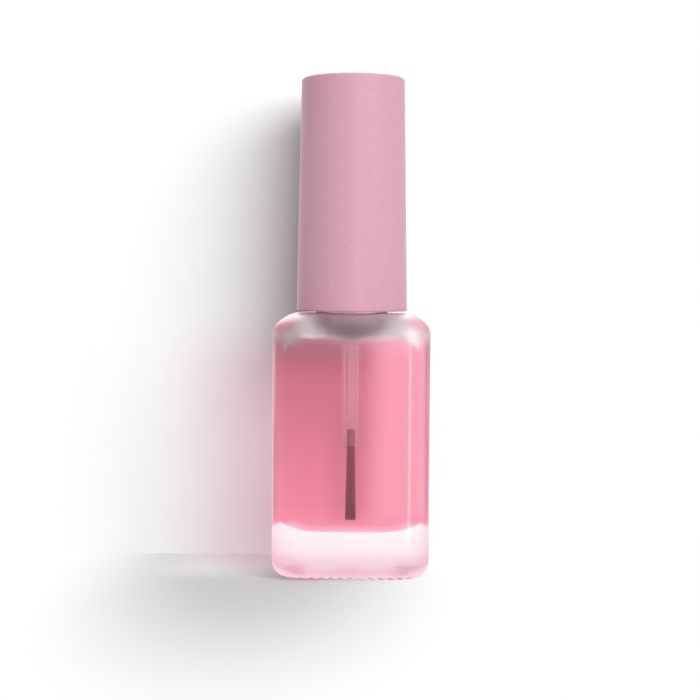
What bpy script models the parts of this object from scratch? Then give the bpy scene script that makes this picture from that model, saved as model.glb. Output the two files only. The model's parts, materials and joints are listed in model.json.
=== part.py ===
"""Cuticle oil bottle: a square glass bottle of pink oil under a tall screw cap with a brush.

The bottle stands on the XY plane with its axis on Z and one flat face towards -Y.
All sizes are in metres.
"""
import math

import bmesh
import bpy
from mathutils import Matrix, Vector

# Glass bottle
body_width = 0.0255
body_corner = 0.0036
shoulder_height = 0.0430
shoulder_reach = 0.0045
shoulder_drop = 0.0032
heel_reach = 0.00275
heel_rise = 0.0030
wall_thickness = 0.0024
base_thickness = 0.0074
floor_reach = 0.0024
floor_rise = 0.0022
shoulder_thickness = 0.0026
ceiling_reach = 0.0050
ceiling_drop = 0.0034
funnel_rise = 0.0020
bearing_land = 0.0017
push_up = 0.0008
neck_diameter = 0.0115
neck_height = 0.0112
neck_fillet = 0.0006
bore_diameter = 0.0070
lip_round = 0.0006

# Stippling round the bearing edge
stipple_count = 52
stipple_depth = 0.00036
stipple_radius = 0.00045
stipple_length = 0.0030

# Oil
headspace = 0.0035
oil_clearance = 0.0003

# Closure
seat_gap = 0.0003
washer_thickness = 0.0010
washer_overhang = 0.0003
collar_thickness = 0.0010
collar_clearance = 0.0009
web_thickness = 0.0012
thread_height = 0.00075
thread_clearance = 0.0002
skirt_wall = 0.0009
skirt_lift = 0.0005
upper_skirt_height = 0.0060
upper_skirt_wall = 0.0009
boss_height = 0.0050
boss_wall = 0.0009
rib_count = 24
rib_height = 0.00025
rib_width = 0.0007
press_clearance = 0.00025

# Outer cap
cap_height = 0.0386
cap_wall = 0.0011
cap_roof = 0.0014
cap_taper = 0.00065
cap_gap = 0.0004
cap_top_round = 0.0006
cap_rim_round = 0.0002
stop_count = 8
stop_depth = 0.0010
stop_width = 0.0008

# Brush
stem_diameter = 0.0029
stem_tip_round = 0.0003
stem_clearance = 0.0003
spigot_diameter = 0.0040
core_diameter = 0.0016
core_end_gap = 0.0012
socket_depth = 0.0044
socket_diameter = 0.0015
tuft_clearance = 0.00005
anchor_height = 0.0013
anchor_thickness = 0.0003
brush_floor_gap = 0.00145
bristle_length = 0.0120
bristle_spread = 0.00026
bristle_radius = 0.000026
bristle_root = 0.0003
bristle_count = 320

# What every cut and joint runs past its face
overrun = 0.0002
merge_distance = 1e-6

# How finely round things are divided
corner_steps = 8
arc_steps = 5
round_steps = 48
small_round_steps = 24
stipple_sides = 8
bristle_sides = 3

# Heights above the table
lip_height = shoulder_height + neck_height
cavity_ceiling = shoulder_height - shoulder_thickness
curve_base = cavity_ceiling - ceiling_drop
oil_level = shoulder_height - headspace
washer_bottom = lip_height + seat_gap
collar_bottom = washer_bottom + washer_thickness + seat_gap
web_bottom = collar_bottom + collar_thickness + seat_gap
web_top = web_bottom + web_thickness
boss_top = web_top + boss_height
inner_cap_top = web_top + upper_skirt_height
cap_bottom = shoulder_height + cap_gap
skirt_bottom = cap_bottom + skirt_lift
cap_top = cap_bottom + cap_height
bristle_tip = base_thickness + brush_floor_gap
stem_tip = bristle_tip + bristle_length
socket_top = stem_tip + socket_depth
core_bottom = socket_top + core_end_gap
anchor_top = socket_top - tuft_clearance
root_top = anchor_top - anchor_height - tuft_clearance
root_bottom = stem_tip + bristle_root

# Half widths and radii out from the axis
body_half = body_width / 2
bearing_outer = body_half - heel_reach
bearing_inner = bearing_outer - bearing_land
cavity_half = body_half - wall_thickness
cavity_corner = body_corner - wall_thickness / 2
ceiling_half = cavity_half - ceiling_reach
neck_radius = neck_diameter / 2
bore_radius = bore_diameter / 2
skirt_bore = neck_radius + thread_height + thread_clearance
skirt_radius = skirt_bore + skirt_wall
cap_bore = skirt_radius + rib_height + press_clearance
cap_radius = cap_bore + cap_wall
stem_radius = stem_diameter / 2
spigot_radius = spigot_diameter / 2
core_radius = core_diameter / 2
socket_radius = socket_diameter / 2
tuft_radius = socket_radius - tuft_clearance
collar_radius = skirt_bore - collar_clearance
washer_radius = neck_radius + washer_overhang
boss_bore = spigot_radius + seat_gap
channel_radius = stem_radius + oil_clearance

full_turn = 2 * math.pi
quarter_turn = math.pi / 2


def clear_scene():
    """Start from an empty file, with one collection for parts and one for cutters."""
    for thing in list(bpy.data.objects):
        bpy.data.objects.remove(thing, do_unlink=True)
    groups = {}
    for name in ("cuticle_oil_bottle", "cutters"):
        group = bpy.data.collections.new(name)
        bpy.context.scene.collection.children.link(group)
        groups[name] = group
    return groups["cuticle_oil_bottle"], groups["cutters"]


def plastic(name, colour, roughness):
    """An opaque moulded material."""
    material = bpy.data.materials.new(name)
    material.use_nodes = True
    shader = material.node_tree.nodes["Principled BSDF"]
    shader.inputs["Base Color"].default_value = (*colour, 1)
    shader.inputs["Roughness"].default_value = roughness
    return material


def clear_material(name, colour, roughness, ior):
    """A see-through material, such as glass or oil."""
    material = plastic(name, colour, roughness)
    shader = material.node_tree.nodes["Principled BSDF"]
    shader.inputs["Transmission Weight"].default_value = 1
    shader.inputs["IOR"].default_value = ior
    return material


def metal(name, colour, roughness):
    """A bare metal."""
    material = plastic(name, colour, roughness)
    material.node_tree.nodes["Principled BSDF"].inputs["Metallic"].default_value = 1
    return material


def add_object(name, mesh, group, material=None, parent=None):
    """Put a mesh in a collection, shaded smooth with its real edges kept sharp."""
    thing = bpy.data.objects.new(name, mesh)
    group.objects.link(thing)
    mesh.shade_smooth()
    mesh.set_sharp_from_angle(angle=math.radians(35))
    if material:
        mesh.materials.append(material)
    thing.parent = parent
    return thing


def mark_as_cutter(thing):
    """Show a cutter or an added rib as a wire guide only."""
    thing.hide_render = True
    thing.display_type = "WIRE"


def combine(thing, other, operation, crowded=False):
    """Cut one solid by another, or join it on, with extra care where many bodies crowd together."""
    modifier = thing.modifiers.new(operation.lower(), "BOOLEAN")
    modifier.operation = operation
    modifier.object = other
    modifier.solver = "EXACT"
    modifier.use_self = crowded


def arc(centre, reaches, start, end, steps=arc_steps):
    """Points (out, up) along an elliptical arc, with angles counted from straight out."""
    points = []
    for step in range(steps + 1):
        angle = start + (end - start) * step / steps
        out = centre[0] + reaches[0] * math.cos(angle)
        up = centre[1] + reaches[1] * math.sin(angle)
        points.append((out, up))
    return points


def rounded_square(half, corner, height):
    """A level section, anticlockwise from above, which is a circle where corner equals half."""
    points = []
    for quarter in range(4):
        middle = (quarter + 0.5) * quarter_turn
        offset = (half - corner) * math.sqrt(2)
        for step in range(corner_steps + 1):
            angle = (quarter + step / corner_steps) * quarter_turn
            x = offset * math.cos(middle) + corner * math.cos(angle)
            y = offset * math.sin(middle) + corner * math.sin(angle)
            points.append(Vector((x, y, height)))
    return points


def loft(name, sections):
    """A closed skin through level sections given as (half width, corner radius, height)."""
    shape = bmesh.new()
    rings = []
    for section in sections:
        rings.append([shape.verts.new(point) for point in rounded_square(*section)])
    for ring, following in zip(rings, rings[1:]):
        for index in range(len(ring)):
            after = (index + 1) % len(ring)
            shape.faces.new((ring[index], ring[after], following[after], following[index]))
    shape.faces.new(rings[0])
    shape.faces.new(rings[-1])
    bmesh.ops.remove_doubles(shape, verts=shape.verts, dist=merge_distance)
    bmesh.ops.recalc_face_normals(shape, faces=shape.faces)
    mesh = bpy.data.meshes.new(name)
    shape.to_mesh(mesh)
    shape.free()
    return mesh


def turned(name, profile, group, material=None, parent=None, height=0.0, steps=round_steps):
    """A profile of (radius, height) points turned round the Z axis by a Screw modifier."""
    closed = profile[0][0] > 0
    edges = [(index, index + 1) for index in range(len(profile) - 1)]
    if closed:
        edges.append((len(profile) - 1, 0))
    mesh = bpy.data.meshes.new(name)
    mesh.from_pydata([(radius, 0, up) for radius, up in profile], edges, [])
    thing = add_object(name, mesh, group, material, parent)
    thing.location.z = height
    screw = thing.modifiers.new("turn", "SCREW")
    screw.axis = "Z"
    screw.angle = full_turn
    screw.steps = steps
    screw.render_steps = steps
    screw.use_merge_vertices = True
    screw.merge_threshold = merge_distance
    screw.use_smooth_shade = True
    return thing


def radial_boxes(name, count, inner, outer, width, bottom, top, group, parent, height):
    """Upright ribs standing round the axis, as one guide object of separate boxes."""
    shape = bmesh.new()
    for index in range(count):
        turn = Matrix.Rotation(full_turn * index / count, 4, "Z")
        place = Matrix.Translation(((inner + outer) / 2, 0, (bottom + top) / 2))
        size = Matrix.Diagonal((outer - inner, width, top - bottom, 1))
        bmesh.ops.create_cube(shape, size=1, matrix=turn @ place @ size)
    mesh = bpy.data.meshes.new(name)
    shape.to_mesh(mesh)
    shape.free()
    thing = add_object(name, mesh, group, parent=parent)
    thing.location.z = height
    mark_as_cutter(thing)
    return thing


def cap_radius_at(height):
    """Outer radius of the tapered cap, by height above its open end."""
    return cap_radius - cap_taper * height / cap_height


def point_on_edge(half, corner, share):
    """A point at a share of the way round a rounded square, with its outward direction."""
    side = half - corner
    bend = quarter_turn * corner
    quarter, rest = divmod(share * 4, 1)
    along = rest * (2 * side + bend)
    angle = min(max(along - side, 0) / corner, quarter_turn)
    past_bend = max(along - side - bend, 0)
    outward = Vector((math.cos(angle), math.sin(angle), 0))
    point = Vector((side - past_bend, min(along, side), 0)) + corner * outward
    turn = Matrix.Rotation(quarter * quarter_turn, 3, "Z")
    return turn @ point, turn @ outward


def stipple_cutters(group):
    """Short round bars across the bearing edge, one for each notch of the stippling."""
    shape = bmesh.new()
    for index in range(stipple_count):
        share = (index + 0.5) / stipple_count
        point, outward = point_on_edge(bearing_outer, body_corner, share)
        inner = -bearing_land / 2
        middle = point + outward * (inner + stipple_length / 2)
        middle.z = stipple_depth - stipple_radius
        place = Matrix.Translation(middle) @ outward.to_track_quat("Z", "Y").to_matrix().to_4x4()
        bmesh.ops.create_cone(
            shape,
            cap_ends=True,
            segments=stipple_sides,
            radius1=stipple_radius,
            radius2=stipple_radius,
            depth=stipple_length,
            matrix=place,
        )
    mesh = bpy.data.meshes.new("stipple_cutters")
    shape.to_mesh(mesh)
    shape.free()
    thing = add_object("stipple_cutters", mesh, group)
    mark_as_cutter(thing)
    return thing


def base_sections():
    """The underside from its hollow middle out to the bearing edge."""
    sections = []
    for out, up in arc((0, 0), (bearing_inner, push_up), quarter_turn, 0)[1:]:
        sections.append((out, body_corner * out / bearing_inner, up))
    sections.append((bearing_outer, body_corner, 0))
    return sections


def body_sections():
    """The outside from the bearing edge up the wall and over the shoulder."""
    heel = arc((bearing_outer, heel_rise), (heel_reach, heel_rise), -quarter_turn, 0)
    shoulder_start = shoulder_height - shoulder_drop
    shoulder = arc(
        (body_half - shoulder_reach, shoulder_start),
        (shoulder_reach, shoulder_drop),
        0,
        quarter_turn,
        arc_steps + 1,
    )
    return [(out, body_corner, up) for out, up in heel[1:] + shoulder]


def neck_sections():
    """The neck's outside, its lip and the top of its bore, all round."""
    root = arc(
        (neck_radius + neck_fillet, shoulder_height + neck_fillet),
        (neck_fillet, neck_fillet),
        -quarter_turn,
        -2 * quarter_turn,
        3,
    )
    lip = arc(
        (neck_radius - lip_round, lip_height - lip_round),
        (lip_round, lip_round),
        0,
        quarter_turn,
        3,
    )
    mouth = arc(
        (bore_radius + lip_round, lip_height - lip_round),
        (lip_round, lip_round),
        quarter_turn,
        2 * quarter_turn,
        3,
    )
    return [(radius, radius, up) for radius, up in root + lip + mouth]


def funnel_sections():
    """The bore's foot, where the glass spreads from the neck to the cavity's ceiling."""
    flare = ceiling_half - bore_radius
    curve = arc(
        (ceiling_half, cavity_ceiling + funnel_rise),
        (flare, funnel_rise),
        2 * quarter_turn,
        3 * quarter_turn,
        4,
    )
    return [(radius, radius, up) for radius, up in curve]


def ceiling_sections(inset, start):
    """The curve of the cavity's ceiling from an angle down to its wall, drawn in by an inset."""
    half = cavity_half - inset
    corner = cavity_corner - inset / 2
    sections = []
    for out, up in arc((half - ceiling_reach, curve_base), (ceiling_reach, ceiling_drop), start, 0):
        drawn_in = (half - out) / ceiling_reach
        sections.append((out, corner + (out - corner) * drawn_in, up))
    return sections


def floor_sections(inset):
    """The foot of the cavity's wall and its rounded floor, drawn in by an inset."""
    half = cavity_half - inset
    corner = cavity_corner - inset / 2
    foot = (half - floor_reach, base_thickness + inset + floor_rise)
    return [(out, corner, up) for out, up in arc(foot, (floor_reach, floor_rise), 0, -quarter_turn)]


def glass_bottle(group, cutters):
    """Body, shoulder, neck and cavity in one skin, with stippling cut into its foot."""
    sections = base_sections() + body_sections() + neck_sections()
    sections += funnel_sections() + ceiling_sections(0, quarter_turn)[1:] + floor_sections(0)
    material = clear_material("flint_glass", (1, 1, 1), 0.0, 1.52)
    bottle = add_object("glass_bottle", loft("glass_bottle", sections), group, material)
    combine(bottle, stipple_cutters(cutters), "DIFFERENCE")
    return bottle


def oil_fill(group, cutters):
    """The oil up to its level, with the channel that the brush stands in."""
    if oil_level > curve_base:
        surface = math.asin((oil_level - curve_base) / ceiling_drop)
        sections = ceiling_sections(oil_clearance, surface)
    else:
        sections = [(cavity_half - oil_clearance, cavity_corner - oil_clearance / 2, oil_level)]
    sections += floor_sections(oil_clearance)
    material = clear_material("pink_oil", (0.93, 0.32, 0.46), 0.0, 1.47)
    oil = add_object("oil_fill", loft("oil_fill", sections), group, material)
    channel_bottom = bristle_tip - oil_clearance
    profile = [
        (0, oil_level + overrun),
        (channel_radius, oil_level + overrun),
        (channel_radius, channel_bottom),
        (0, channel_bottom),
    ]
    channel = turned("brush_channel", profile, cutters, steps=small_round_steps)
    mark_as_cutter(channel)
    combine(oil, channel, "DIFFERENCE")
    return oil


def sealing_washer(group):
    """The soft washer on the glass lip, which the brush's collar presses down."""
    hole = stem_radius + stem_clearance
    profile = [
        (washer_radius, washer_thickness),
        (washer_radius, 0),
        (hole, 0),
        (hole, washer_thickness),
    ]
    material = plastic("washer_foam", (0.80, 0.80, 0.78), 0.6)
    return turned(
        "sealing_washer", profile, group, material, height=washer_bottom, steps=small_round_steps
    )


def inner_cap(group, cutters, axis):
    """The dark closure: a threaded skirt below a web, and a ribbed skirt and boss above it."""
    bottom = skirt_bottom - lip_height
    web_low = web_bottom - lip_height
    web_high = web_top - lip_height
    top = inner_cap_top - lip_height
    boss_high = boss_top - lip_height
    foot = skirt_bottom - cap_bottom
    crown = inner_cap_top - cap_bottom
    fit = cap_wall + press_clearance + rib_height
    skirt_foot = cap_radius_at(foot) - fit
    skirt_crown = cap_radius_at(crown) - fit
    upper_bore = skirt_crown - upper_skirt_wall
    boss_radius = boss_bore + boss_wall
    profile = [
        (skirt_crown, top),
        (skirt_foot, bottom),
        (skirt_bore, bottom),
        (skirt_bore, web_low),
        (boss_bore, web_low),
        (boss_bore, boss_high),
        (boss_radius, boss_high),
        (boss_radius, web_high),
        (upper_bore, web_high),
        (upper_bore, top),
    ]
    material = plastic("black_closure", (0.02, 0.02, 0.022), 0.4)
    cap = turned("inner_cap", profile, group, material, parent=axis)
    ribs = radial_boxes(
        "closure_ribs",
        rib_count,
        skirt_crown - upper_skirt_wall / 2,
        skirt_crown + rib_height,
        rib_width,
        web_low,
        top - overrun,
        cutters,
        axis,
        0.0,
    )
    combine(cap, ribs, "UNION")
    return cap


def outer_cap(group, cutters, axis):
    """The tall tapered shell, with stops inside for the rim of the inner cap."""
    roof = cap_height - cap_roof
    crown = cap_radius_at(cap_height)
    mouth = cap_radius_at(0)
    shoulder = arc(
        (crown - cap_top_round, cap_height - cap_top_round),
        (cap_top_round, cap_top_round),
        quarter_turn,
        0,
        4,
    )
    profile = [(0, cap_height)]
    profile += shoulder
    profile += arc((mouth - cap_rim_round, cap_rim_round), (cap_rim_round, cap_rim_round), 0, -quarter_turn, 2)
    profile += [
        (mouth - cap_wall, 0),
        (cap_radius_at(roof) - cap_wall, roof),
        (0, roof),
    ]
    material = plastic("satin_pink", (0.70, 0.40, 0.49), 0.45)
    base = cap_bottom - lip_height
    cap = turned("outer_cap", profile, group, material, parent=axis, height=base)
    stop_bottom = inner_cap_top + seat_gap - cap_bottom
    stop_outer = cap_radius_at(stop_bottom) - cap_wall
    stops = radial_boxes(
        "cap_stops",
        stop_count,
        cap_radius_at(roof) - cap_wall - stop_depth,
        stop_outer + overrun,
        stop_width,
        stop_bottom,
        roof + overrun,
        cutters,
        axis,
        base,
    )
    combine(cap, stops, "UNION")
    return cap


def brush_stem(group, axis):
    """The hollow stem, with its collar under the web and its spigot up the boss."""
    tip = stem_tip - lip_height
    collar_low = collar_bottom - lip_height
    collar_high = collar_low + collar_thickness
    spigot_top = boss_top - lip_height
    core_low = core_bottom - lip_height
    socket_high = socket_top - lip_height
    outside = [
        (spigot_radius, spigot_top),
        (spigot_radius, collar_high),
        (collar_radius, collar_high),
        (collar_radius, collar_low),
        (stem_radius, collar_low),
    ]
    outside += arc(
        (stem_radius - stem_tip_round, tip + stem_tip_round),
        (stem_tip_round, stem_tip_round),
        0,
        -quarter_turn,
        2,
    )
    tip_socket = [(socket_radius, tip), (socket_radius, socket_high), (0, socket_high)]
    core = [(0, core_low), (core_radius, core_low), (core_radius, spigot_top)]
    material = plastic("natural_polyethylene", (0.86, 0.86, 0.84), 0.35)
    profile = core + outside + tip_socket
    return turned("brush_stem", profile, group, material, parent=axis, steps=small_round_steps)


def bristle_anchor(group, axis):
    """The flat wire staple that holds the tuft in its socket."""
    shape = bmesh.new()
    width = 2 * tuft_radius * math.cos(math.asin(anchor_thickness / 2 / tuft_radius))
    size = Matrix.Diagonal((anchor_thickness, width, anchor_height, 1))
    bmesh.ops.create_cube(shape, size=1, matrix=size)
    mesh = bpy.data.meshes.new("bristle_anchor")
    shape.to_mesh(mesh)
    shape.free()
    anchor = add_object("bristle_anchor", mesh, group, metal("staple_wire", (0.75, 0.75, 0.76), 0.25), axis)
    anchor.location.z = anchor_top - anchor_height / 2 - lip_height
    return anchor


def bristle_strands(group, axis):
    """Separate strands that start in the root plug and spread towards their tips."""
    golden_turn = math.pi * (3 - math.sqrt(5))
    root_reach = tuft_radius - 2 * bristle_radius
    spread = (root_reach + bristle_spread) / root_reach
    top = root_bottom + overrun
    shape = bmesh.new()
    for index in range(bristle_count):
        angle = index * golden_turn
        reach = root_reach * math.sqrt((index + 0.5) / bristle_count)
        root = Vector((reach * math.cos(angle), reach * math.sin(angle), top - lip_height))
        tip = Vector((root.x * spread, root.y * spread, bristle_tip - lip_height))
        middle = (root + tip) / 2
        lean = (tip - root).to_track_quat("Z", "Y").to_matrix().to_4x4()
        bmesh.ops.create_cone(
            shape,
            cap_ends=True,
            segments=bristle_sides,
            radius1=bristle_radius,
            radius2=bristle_radius,
            depth=(tip - root).length,
            matrix=Matrix.Translation(middle) @ lean,
        )
    mesh = bpy.data.meshes.new("bristle_strands")
    shape.to_mesh(mesh)
    shape.free()
    strands = add_object("bristle_strands", mesh, group, parent=axis)
    mark_as_cutter(strands)
    return strands


def bristle_tuft(group, cutters, axis):
    """The fused root plug in the stem's socket, with its strands standing out below."""
    profile = [
        (0, root_top - lip_height),
        (tuft_radius, root_top - lip_height),
        (tuft_radius, root_bottom - lip_height),
        (0, root_bottom - lip_height),
    ]
    material = plastic("nylon_bristle", (0.30, 0.13, 0.17), 0.5)
    tuft = turned("bristle_tuft", profile, group, material, parent=axis, steps=small_round_steps)
    combine(tuft, bristle_strands(cutters, axis), "UNION", crowded=True)
    return tuft


def build():
    """Make every piece, with the closure and the brush hung on the cap's turning axis."""
    parts, cutters = clear_scene()
    axis = bpy.data.objects.new("cap_axis", None)
    axis.location.z = lip_height
    parts.objects.link(axis)
    glass_bottle(parts, cutters)
    oil_fill(parts, cutters)
    sealing_washer(parts)
    inner_cap(parts, cutters, axis)
    outer_cap(parts, cutters, axis)
    brush_stem(parts, axis)
    bristle_anchor(parts, axis)
    bristle_tuft(parts, cutters, axis)


build()
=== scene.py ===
# Cuticle oil bottle: square clear glass, pink oil, and a tall satin cap that carries the brush.
# Everything is in metres. The bottle stands on z = 0 with its front towards -Y.
import json
import math
import random

import bmesh
import bpy
from mathutils import Matrix, Quaternion, Vector

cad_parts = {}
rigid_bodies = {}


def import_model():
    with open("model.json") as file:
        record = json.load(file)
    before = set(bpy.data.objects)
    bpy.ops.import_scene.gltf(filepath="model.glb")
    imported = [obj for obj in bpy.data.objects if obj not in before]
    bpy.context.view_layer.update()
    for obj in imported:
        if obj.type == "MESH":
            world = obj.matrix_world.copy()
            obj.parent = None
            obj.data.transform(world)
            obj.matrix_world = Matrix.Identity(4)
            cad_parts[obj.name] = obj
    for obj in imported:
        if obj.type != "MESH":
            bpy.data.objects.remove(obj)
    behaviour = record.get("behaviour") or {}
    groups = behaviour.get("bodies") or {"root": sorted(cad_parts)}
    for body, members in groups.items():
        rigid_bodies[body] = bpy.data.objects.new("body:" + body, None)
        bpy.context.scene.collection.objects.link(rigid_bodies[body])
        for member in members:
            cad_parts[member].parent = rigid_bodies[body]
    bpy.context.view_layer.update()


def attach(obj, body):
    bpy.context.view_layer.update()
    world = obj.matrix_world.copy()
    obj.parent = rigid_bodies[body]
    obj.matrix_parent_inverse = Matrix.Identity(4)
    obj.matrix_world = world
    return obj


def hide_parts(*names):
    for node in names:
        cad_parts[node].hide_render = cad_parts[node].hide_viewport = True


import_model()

fullTurn = 2 * math.pi
quarterTurn = math.pi / 2


# Outlines and skins

def arcPoints(centre, reaches, start, end, steps):
    # points (out, up) along an elliptical arc, angles counted from straight out
    points = []
    for step in range(steps + 1):
        angle = start + (end - start) * step / steps
        out = centre[0] + reaches[0] * math.cos(angle)
        points.append((out, centre[1] + reaches[1] * math.sin(angle)))
    return points


def between(low, high, steps):
    return [low + (high - low) * step / steps for step in range(steps + 1)]


def smoothStep(value):
    value = min(max(value, 0.0), 1.0)
    return value * value * (3 - 2 * value)


def squarePoint(half, corner, share):
    # a point a share of the way round a rounded square, from the middle of its +X side
    side = half - corner
    bend = quarterTurn * corner
    quarter, rest = divmod(share * 4, 1)
    along = rest * (2 * side + bend)
    angle = min(max(along - side, 0) / corner, quarterTurn)
    pastBend = max(along - side - bend, 0)
    x = side - pastBend + corner * math.cos(angle)
    y = min(along, side) + corner * math.sin(angle)
    turn = quarter * quarterTurn
    return (x * math.cos(turn) - y * math.sin(turn), x * math.sin(turn) + y * math.cos(turn))


def squareRing(half, corner, height, count):
    return [(*squarePoint(half, corner, index / count), height) for index in range(count)]


def skinMesh(name, rings, closed=False):
    # a skin through rings of points; a ring of one point closes the skin at the axis
    points, starts, faces = [], [], []
    for ring in rings:
        starts.append(len(points))
        points.extend(ring)
    pairs = list(zip(range(len(rings) - 1), range(1, len(rings))))
    if closed:
        pairs.append((len(rings) - 1, 0))
    for first, second in pairs:
        countA, countB = len(rings[first]), len(rings[second])
        a, b = starts[first], starts[second]
        for index in range(max(countA, countB)):
            after = (index + 1) % max(countA, countB)
            if countA == 1:
                faces.append((a, b + after, b + index))
            elif countB == 1:
                faces.append((a + index, a + after, b))
            else:
                faces.append((a + index, a + after, b + after, b + index))
    return smoothMesh(name, points, faces)


def smoothMesh(name, points, faces):
    # all its faces look outwards
    mesh = bpy.data.meshes.new(name)
    mesh.from_pydata(points, [], faces)
    shape = bmesh.new()
    shape.from_mesh(mesh)
    bmesh.ops.recalc_face_normals(shape, faces=shape.faces)
    shape.to_mesh(mesh)
    shape.free()
    mesh.shade_smooth()
    return mesh


def softCorners(outline, radius, closed, steps=5):
    # rounds each corner of an outline of (out, up, zone) points by an arc that fits its edges
    count = len(outline)
    rounded = []
    for index, (out, up, zone) in enumerate(outline):
        if not closed and index in (0, count - 1):
            rounded.append((out, up, zone))
            continue
        here = Vector((out, up))
        before = Vector(outline[index - 1][:2]) - here
        after = Vector(outline[(index + 1) % count][:2]) - here
        opening = before.angle(after)
        reach = radius / math.tan(opening / 2)
        reach = min(reach, before.length * 0.45, after.length * 0.45)
        fitted = reach * math.tan(opening / 2)
        bisector = (before.normalized() + after.normalized()).normalized()
        middle = here + bisector * (fitted / math.sin(opening / 2))
        start = here + before.normalized() * reach - middle
        end = here + after.normalized() * reach - middle
        sweep = start.angle_signed(end)
        for step in range(steps + 1):
            turn = Matrix.Rotation(-sweep * step / steps, 2)
            point = middle + turn @ start
            rounded.append((point.x, point.y, zone if step else outline[index - 1][2]))
    return rounded


def finer(outline, spacing, closed):
    # adds points along the straight runs, so that ridges can rise from them
    points = []
    count = len(outline)
    for index, (out, up, zone) in enumerate(outline):
        points.append((out, up, zone))
        if index == count - 1 and not closed:
            break
        nextOut, nextUp, _ = outline[(index + 1) % count]
        steps = max(1, math.ceil(math.hypot(nextOut - out, nextUp - up) / spacing))
        for step in range(1, steps):
            share = step / steps
            points.append((out + (nextOut - out) * share, up + (nextUp - up) * share, zone))
    return points


def turnedMesh(name, outline, count, closed=False, ridge=None):
    # an outline of (out, up, zone) points turned round Z; ridge(zone, angle, up) adds to the radius
    rings = []
    for out, up, zone in outline:
        if out == 0:
            rings.append([(0, 0, up)])
            continue
        ring = []
        for index in range(count):
            angle = fullTurn * index / count
            radius = out + (ridge(zone, angle, up) if ridge else 0)
            ring.append((radius * math.cos(angle), radius * math.sin(angle), up))
        rings.append(ring)
    return skinMesh(name, rings, closed)


def ridgeShape(angle, radius, count, width, slope):
    # 1 on the crest and 0 beside it, for ridges that stand evenly round a radius
    step = fullTurn / count
    off = abs((angle + step / 2) % step - step / 2) * radius
    return smoothStep((width * 0.75 - off) / (width * slope))


def addPiece(name, mesh, material, body, slot, *replaced):
    piece = bpy.data.objects.new(name, mesh)
    bpy.context.scene.collection.objects.link(piece)
    mesh.materials.append(material)
    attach(piece, body)
    if replaced:
        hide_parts(*replaced)
    return piece


def evenShading(piece):
    # keeps flat faces flat beside their small rounded edges
    piece.modifiers.new("even_shading", "WEIGHTED_NORMAL").keep_sharp = True


def turnPiece(name, part, outline, closed, finish, body, slot, node, ridge=None, steps=5):
    outline = softCorners(outline, part["edgeRound"], closed, steps)
    outline = finer(outline, part["spacing"], closed)
    mesh = turnedMesh(name, outline, part["points"], closed, ridge)
    evenShading(addPiece(name, mesh, finish, body, slot, node))


# Finishes

rampStart, rampEnd = 0.3, 0.7    # noise stays mostly between these, so its colours run there


def fill(tree, socket, value):
    # value is a number, a vector, a colour or another node's output
    if isinstance(value, bpy.types.NodeSocket):
        tree.links.new(value, socket)
    elif socket.type == "RGBA":
        socket.default_value = (*value, 1)
    else:
        socket.default_value = value


def addNode(tree, kind, inputs=None, **settings):
    node = tree.nodes.new("ShaderNode" + kind)
    for name, value in settings.items():
        setattr(node, name, value)
    for socket, value in (inputs or {}).items():
        fill(tree, node.inputs[socket], value)
    return node


def startFinish(name, colour, roughness, **sockets):
    material = bpy.data.materials.new(name)
    material.use_nodes = True
    tree = material.node_tree
    inputs = tree.nodes["Principled BSDF"].inputs
    fill(tree, inputs["Base Color"], colour)
    fill(tree, inputs["Roughness"], roughness)
    for socket, value in sockets.items():
        fill(tree, inputs[socket.replace("_", " ")], value)
    return material, tree


def connect(tree, value, socket):
    tree.links.new(value, tree.nodes["Principled BSDF"].inputs[socket])


def addNoise(tree, scale, detail, stretch=(1, 1, 1)):
    # noise on the piece's own coordinates, in metres, so it stays with the piece
    place = addNode(tree, "TexCoord").outputs["Object"]
    scaled = addNode(tree, "Mapping", {"Vector": place, "Scale": stretch}).outputs["Vector"]
    noise = addNode(tree, "TexNoise", {"Vector": scaled, "Scale": scale, "Detail": detail})
    return noise.outputs["Fac"]


def mapTo(tree, value, low, high, fromLow=rampStart, fromHigh=rampEnd, kind="LINEAR"):
    span = {"Value": value, "From Min": fromLow, "From Max": fromHigh,
            "To Min": low, "To Max": high}
    return addNode(tree, "MapRange", span, interpolation_type=kind).outputs["Result"]


def addFade(tree, value, start, end, low=0.0, high=1.0):
    return mapTo(tree, value, low, high, start, end, "SMOOTHSTEP")


def blendColours(tree, value, darker, lighter):
    ramp = addNode(tree, "ValToRGB", {"Fac": value})
    first, last = ramp.color_ramp.elements
    first.position, first.color = rampStart, (*darker, 1)
    last.position, last.color = rampEnd, (*lighter, 1)
    return ramp.outputs["Color"]


def colourBy(tree, value, darker, lighter):
    connect(tree, blendColours(tree, value, darker, lighter), "Base Color")


def addBump(tree, value, strength, distance):
    bump = addNode(tree, "Bump", {"Height": value, "Strength": strength, "Distance": distance})
    connect(tree, bump.outputs["Normal"], "Normal")


def addMath(tree, operation, first, second):
    return addNode(tree, "Math", {0: first, 1: second}, operation=operation).outputs[0]


def multiply(tree, product, *others):
    for other in others:
        product = addMath(tree, "MULTIPLY", product, other)
    return product


def addBand(tree, value, low, high):
    # rises over one span and falls over the other
    return multiply(tree, addFade(tree, value, *low), addFade(tree, value, *high))


def mixColours(tree, amount, first, second, blend="MIX"):
    colours = {0: amount, 6: first, 7: second}
    return addNode(tree, "Mix", colours, data_type="RGBA", blend_type=blend).outputs[2]


def heightOf(tree):
    # how high each point of the piece lies, in metres
    place = addNode(tree, "TexCoord").outputs["Object"]
    return addNode(tree, "SeparateXYZ", {0: place}).outputs["Z"]


def tintByHeight(tree, span, low, high):
    rise = mapTo(tree, heightOf(tree), rampStart, rampEnd, *span)
    return blendColours(tree, rise, low, high)


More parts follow.
